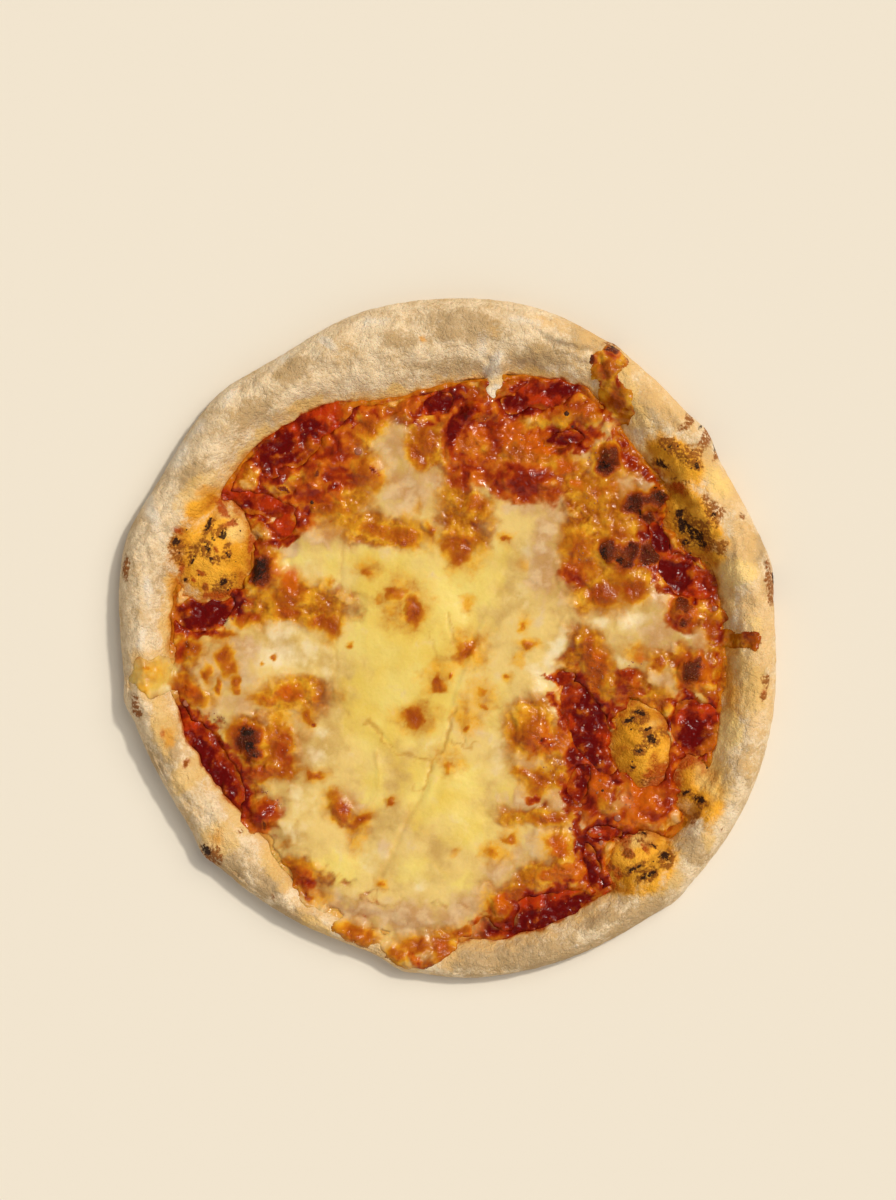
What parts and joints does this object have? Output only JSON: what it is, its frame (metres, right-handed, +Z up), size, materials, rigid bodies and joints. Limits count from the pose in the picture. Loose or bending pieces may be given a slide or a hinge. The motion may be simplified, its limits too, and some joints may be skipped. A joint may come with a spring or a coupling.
{
  "type": "pizza",
  "caption": "Round hand-stretched pizza with a puffy floury rim, tomato sauce and melted mozzarella browned in blisters. It lies flat and lifts as one piece.",
  "frame": {"origin": "middle of the underside, on the surface that the pizza lies on", "axes": "+Z up through the topping, +Y towards the top of the picture, +X towards its right"},
  "size_m": [0.264, 0.273, 0.019],
  "materials": {
    "baked_dough": "matt, floury, browned in patches",
    "tomato_sauce": "wet",
    "melted_cheese": "soft gloss, oily"
  },
  "bodies": {
    "root": {"crust": "baked_dough", "tomato_sauce": "tomato_sauce", "melted_cheese": "melted_cheese"}
  },
  "joints": []
}
